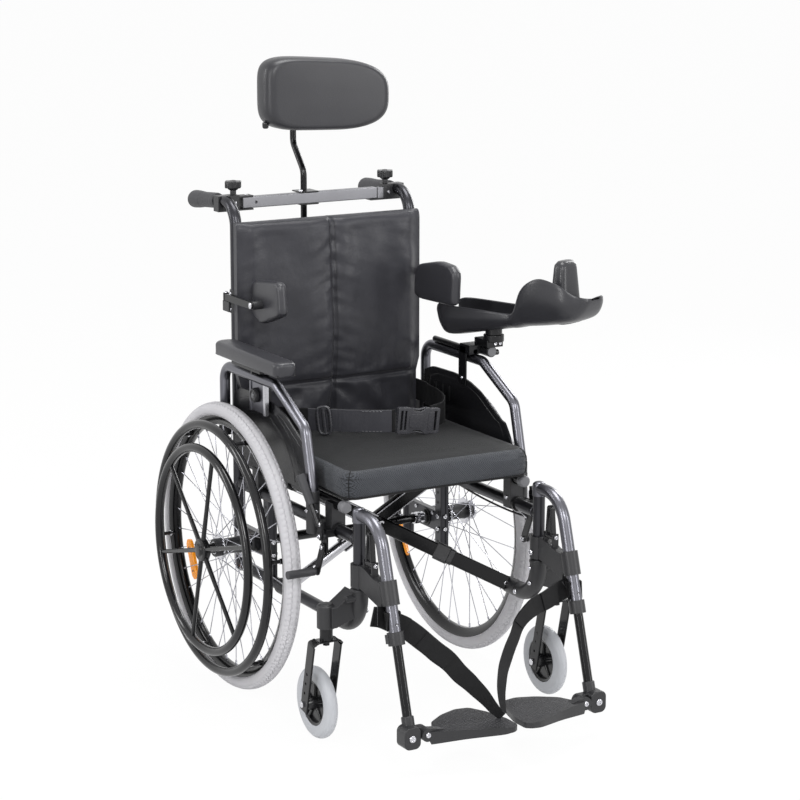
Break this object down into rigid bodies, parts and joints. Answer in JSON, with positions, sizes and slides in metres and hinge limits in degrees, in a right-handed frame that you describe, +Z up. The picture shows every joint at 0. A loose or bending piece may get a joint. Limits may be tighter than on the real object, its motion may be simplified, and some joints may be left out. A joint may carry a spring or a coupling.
{
  "type": "folding wheelchair",
  "caption": "Folding manual wheelchair with a one-hand double-handrim drive, swing-away footrests, head support, side supports, a padded armrest and a forearm trough",
  "frame": {"origin": "on the floor, under the centre of the chair's bounding box", "axes": "+X to the sitter's left, across the chair; +Y to the rear, so the sitter faces -Y; +Z up"},
  "size_m": [0.7709, 1.026, 1.3079],
  "materials": {
    "frame_coat": "satin",
    "black_coat": "satin",
    "light_metal": "satin",
    "wheel_metal": "satin",
    "black_plastic": "satin",
    "grip_rubber": "matte",
    "tyre_rubber": "matte",
    "caster_tyre": "satin",
    "nylon": "satin",
    "cushion_cover": "matte",
    "webbing": "matte",
    "soft_pad": "satin"
  },
  "bodies": {
    "height_knob": {"arm_height_knob": "black_plastic"},
    "trough": {"arm_trough": "soft_pad"},
    "right_frame": {"back_upholstery": "nylon", "lap_belt_right": "webbing", "right_caster_housing": "black_plastic", "right_head_clamp": "black_plastic", "right_push_grip": "grip_rubber", "right_side_frame": "frame_coat"},
    "cross_brace_front": {"cross_bar_front": "black_coat"},
    "cross_brace_rear": {"cross_bar_rear": "black_coat"},
    "drive_rim": {"drive_handrim": "black_plastic"},
    "left_wheel": {"drive_shaft": "black_coat", "left_rear_tyre": "tyre_rubber", "left_wire_wheel": "wheel_metal"},
    "head_pad": {"head_pad": "soft_pad"},
    "head_post": {"head_post": "black_coat"},
    "head_bar": {"head_support_bar": "light_metal"},
    "left_frame": {"lap_belt_left": "webbing", "left_caster_housing": "black_plastic", "left_head_clamp": "black_plastic", "left_push_grip": "grip_rubber", "left_side_frame": "frame_coat"},
    "left_armrest": {"left_armrest_tube": "frame_coat", "left_side_guard": "black_plastic"},
    "left_brake_bar": {"left_brake_bar": "black_plastic"},
    "left_brake_lever": {"left_brake_lever": "black_coat"},
    "left_caster": {"left_caster_fork": "black_coat"},
    "left_caster_wheel": {"left_caster_wheel": "caster_tyre"},
    "left_foot": {"left_footplate": "black_plastic"},
    "left_hanger": {"left_hanger": "frame_coat", "left_latch_block": "black_plastic"},
    "left_leg": {"left_heel_strap": "webbing", "left_leg_tube": "black_coat"},
    "left_latch": {"left_latch_lever": "black_plastic"},
    "left_rail": {"left_seat_rail": "black_coat"},
    "left_lateral": {"left_side_support": "soft_pad"},
    "left_star_knob": {"left_star_knob": "black_plastic"},
    "arm_pad": {"right_arm_pad": "soft_pad", "right_pad_bracket": "light_metal"},
    "right_armrest": {"right_armrest_tube": "frame_coat", "right_side_guard": "black_plastic"},
    "right_brake_bar": {"right_brake_bar": "black_plastic"},
    "right_brake_lever": {"right_brake_lever": "black_coat"},
    "right_caster": {"right_caster_fork": "black_coat"},
    "right_caster_wheel": {"right_caster_wheel": "caster_tyre"},
    "right_foot": {"right_footplate": "black_plastic"},
    "right_wheel": {"right_handrim": "black_plastic", "right_rear_tyre": "tyre_rubber", "right_wire_wheel": "wheel_metal"},
    "right_hanger": {"right_hanger": "frame_coat", "right_latch_block": "black_plastic"},
    "right_leg": {"right_heel_strap": "webbing", "right_leg_tube": "black_coat"},
    "right_latch": {"right_latch_lever": "black_plastic"},
    "seat": {"right_seat_rail": "black_coat", "seat_cushion": "cushion_cover", "seat_sling": "nylon"},
    "right_lateral": {"right_side_support": "soft_pad"},
    "right_star_knob": {"right_star_knob": "black_plastic"},
    "trough_mount": {"trough_adapter": "black_coat"}
  },
  "joints": [
    {"name": "fold", "type": "hinge", "parent": "right_frame", "child": "cross_brace_rear", "pos_m": [-0.24275, 0.0795, 0.235], "axis": [0, -1, 0], "range_deg": [0, 38], "deforming": ["seat_sling", "seat_cushion", "back_upholstery", "lap_belt_left", "lap_belt_right", "left_heel_strap", "right_heel_strap"]},
    {"name": "brace_scissor", "type": "hinge", "parent": "cross_brace_rear", "child": "cross_brace_front", "pos_m": [-0.03375, 0.0795, 0.352], "axis": [0, -1, 0], "range_deg": [-76, 0]},
    {"name": "left_frame_carry", "type": "hinge", "parent": "cross_brace_front", "child": "left_frame", "pos_m": [0.17525, -0.1445, 0.235], "axis": [0, -1, 0], "range_deg": [0, 38]},
    {"name": "seat_carry", "type": "hinge", "parent": "cross_brace_front", "child": "seat", "pos_m": [-0.24275, 0.0795, 0.469], "axis": [0, -1, 0], "range_deg": [0, 38]},
    {"name": "left_rail_carry", "type": "hinge", "parent": "cross_brace_rear", "child": "left_rail", "pos_m": [0.17525, 0.0795, 0.469], "axis": [0, -1, 0], "range_deg": [-38, 0]},
    {"name": "drive_rim_spin", "type": "hinge", "parent": "right_frame", "child": "drive_rim", "pos_m": [-0.30975, 0.2075, 0.305], "axis": [1, 0, 0], "continuous": true},
    {"name": "right_wheel_spin", "type": "hinge", "parent": "right_frame", "child": "right_wheel", "pos_m": [-0.30975, 0.2075, 0.305], "axis": [1, 0, 0], "continuous": true},
    {"name": "left_wheel_spin", "type": "hinge", "parent": "left_frame", "child": "left_wheel", "pos_m": [0.24225, 0.2075, 0.305], "axis": [1, 0, 0], "continuous": true},
    {"name": "right_caster_swivel", "type": "hinge", "parent": "right_frame", "child": "right_caster", "pos_m": [-0.30475, -0.2125, 0.214], "axis": [0, 0, 1], "continuous": true},
    {"name": "right_caster_spin", "type": "hinge", "parent": "right_caster", "child": "right_caster_wheel", "pos_m": [-0.30475, -0.1725, 0.0735], "axis": [1, 0, 0], "continuous": true},
    {"name": "right_hanger_swing", "type": "hinge", "parent": "right_frame", "child": "right_hanger", "pos_m": [-0.24275, -0.2365, 0.452], "axis": [0, 0, -1], "range_deg": [0, 90]},
    {"name": "right_latch_tilt", "type": "hinge", "parent": "right_hanger", "child": "right_latch", "pos_m": [-0.24275, -0.2815, 0.378], "axis": [0, 1, 0], "range_deg": [0, 25], "stiffness_Nm_per_rad": 0.05},
    {"name": "right_leg_length", "type": "slide", "parent": "right_hanger", "child": "right_leg", "axis": [0, -0.2901, -0.957], "range_m": [-0.02, 0.08]},
    {"name": "right_footplate_flip", "type": "hinge", "parent": "right_leg", "child": "right_foot", "pos_m": [-0.21575, -0.4405, 0.078], "axis": [0, -1, 0], "range_deg": [0, 90]},
    {"name": "right_armrest_lift", "type": "slide", "parent": "right_frame", "child": "right_armrest", "axis": [0, 0, 1], "range_m": [0, 0.06]},
    {"name": "right_side_support_swing", "type": "hinge", "parent": "right_frame", "child": "right_lateral", "pos_m": [-0.25575, 0.3195, 0.815], "axis": [0, 0, 1], "range_deg": [-60, 0]},
    {"name": "right_star_knob_turn", "type": "hinge", "parent": "right_frame", "child": "right_star_knob", "pos_m": [-0.21775, 0.3575, 1.024], "axis": [0, 0, 1], "continuous": true},
    {"name": "left_caster_swivel", "type": "hinge", "parent": "left_frame", "child": "left_caster", "pos_m": [0.23725, -0.2125, 0.214], "axis": [0, 0, 1], "continuous": true},
    {"name": "left_caster_spin", "type": "hinge", "parent": "left_caster", "child": "left_caster_wheel", "pos_m": [0.23725, -0.1725, 0.0735], "axis": [1, 0, 0], "continuous": true},
    {"name": "left_hanger_swing", "type": "hinge", "parent": "left_frame", "child": "left_hanger", "pos_m": [0.17525, -0.2365, 0.452], "axis": [0, 0, 1], "range_deg": [0, 90]},
    {"name": "left_latch_tilt", "type": "hinge", "parent": "left_hanger", "child": "left_latch", "pos_m": [0.17525, -0.2815, 0.378], "axis": [0, -1, 0], "range_deg": [0, 25], "stiffness_Nm_per_rad": 0.05},
    {"name": "left_leg_length", "type": "slide", "parent": "left_hanger", "child": "left_leg", "axis": [0, -0.2901, -0.957], "range_m": [-0.02, 0.08]},
    {"name": "left_footplate_flip", "type": "hinge", "parent": "left_leg", "child": "left_foot", "pos_m": [0.14825, -0.4405, 0.078], "axis": [0, 1, 0], "range_deg": [0, 90]},
    {"name": "left_armrest_lift", "type": "slide", "parent": "left_frame", "child": "left_armrest", "axis": [0, 0, 1], "range_m": [0, 0.06]},
    {"name": "left_side_support_swing", "type": "hinge", "parent": "left_frame", "child": "left_lateral", "pos_m": [0.18825, 0.3195, 0.838], "axis": [0, 0, -1], "range_deg": [-60, 0]},
    {"name": "left_star_knob_turn", "type": "hinge", "parent": "left_frame", "child": "left_star_knob", "pos_m": [0.15025, 0.3575, 1.024], "axis": [0, 0, 1], "continuous": true},
    {"name": "brake_lever_pull", "type": "hinge", "parent": "right_frame", "child": "right_brake_lever", "pos_m": [-0.27175, -0.1505, 0.408], "axis": [1, 0, 0], "range_deg": [0, 50]},
    {"name": "left_brake_crank", "type": "hinge", "parent": "left_frame", "child": "left_brake_lever", "pos_m": [0.20425, -0.1505, 0.408], "axis": [1, 0, 0], "range_deg": [0, 50]},
    {"name": "right_brake_bar_swing", "type": "hinge", "parent": "right_frame", "child": "right_brake_bar", "pos_m": [-0.27175, -0.1505, 0.385], "axis": [1, 0, 0], "range_deg": [0, 24]},
    {"name": "left_brake_bar_swing", "type": "hinge", "parent": "left_frame", "child": "left_brake_bar", "pos_m": [0.20425, -0.1505, 0.385], "axis": [1, 0, 0], "range_deg": [0, 24]},
    {"name": "arm_pad_height", "type": "slide", "parent": "right_armrest", "child": "arm_pad", "axis": [0, 0, 1], "range_m": [0, 0.08]},
    {"name": "arm_height_knob_turn", "type": "hinge", "parent": "right_armrest", "child": "height_knob", "pos_m": [-0.27875, 0.1315, 0.641], "axis": [1, 0, 0], "continuous": true},
    {"name": "trough_height", "type": "slide", "parent": "left_armrest", "child": "trough_mount", "axis": [0, 0, 1], "range_m": [0, 0.06]},
    {"name": "trough_swivel", "type": "hinge", "parent": "trough_mount", "child": "trough", "pos_m": [0.23825, 0.0445, 0.733], "axis": [0, 0, -1], "range_deg": [-20, 20]},
    {"name": "head_bar_swing", "type": "hinge", "parent": "right_frame", "child": "head_bar", "pos_m": [-0.18775, 0.3575, 1.006], "axis": [0, 0, 1], "range_deg": [0, 90]},
    {"name": "head_support_height", "type": "slide", "parent": "head_bar", "child": "head_post", "axis": [0, 0, 1], "range_m": [-0.025, 0.04]},
    {"name": "head_pad_tilt", "type": "hinge", "parent": "head_post", "child": "head_pad", "pos_m": [-0.04075, 0.3665, 1.233], "axis": [1, 0, 0], "range_deg": [-20, 20]}
  ],
  "couplings": [
    {"joint": "brace_scissor", "follows": "fold", "ratio": -2},
    {"joint": "left_frame_carry", "follows": "fold", "ratio": 1},
    {"joint": "seat_carry", "follows": "fold", "ratio": 1},
    {"joint": "left_rail_carry", "follows": "fold", "ratio": -1},
    {"joint": "left_wheel_spin", "follows": "drive_rim_spin", "ratio": 1},
    {"joint": "right_footplate_flip", "follows": "fold", "ratio": 2.3684},
    {"joint": "left_footplate_flip", "follows": "fold", "ratio": 2.3684},
    {"joint": "left_brake_crank", "follows": "brake_lever_pull", "ratio": 1},
    {"joint": "right_brake_bar_swing", "follows": "brake_lever_pull", "ratio": 0.48},
    {"joint": "left_brake_bar_swing", "follows": "brake_lever_pull", "ratio": 0.48},
    {"joint": "head_bar_swing", "follows": "fold", "ratio": 2.3684}
  ]
}
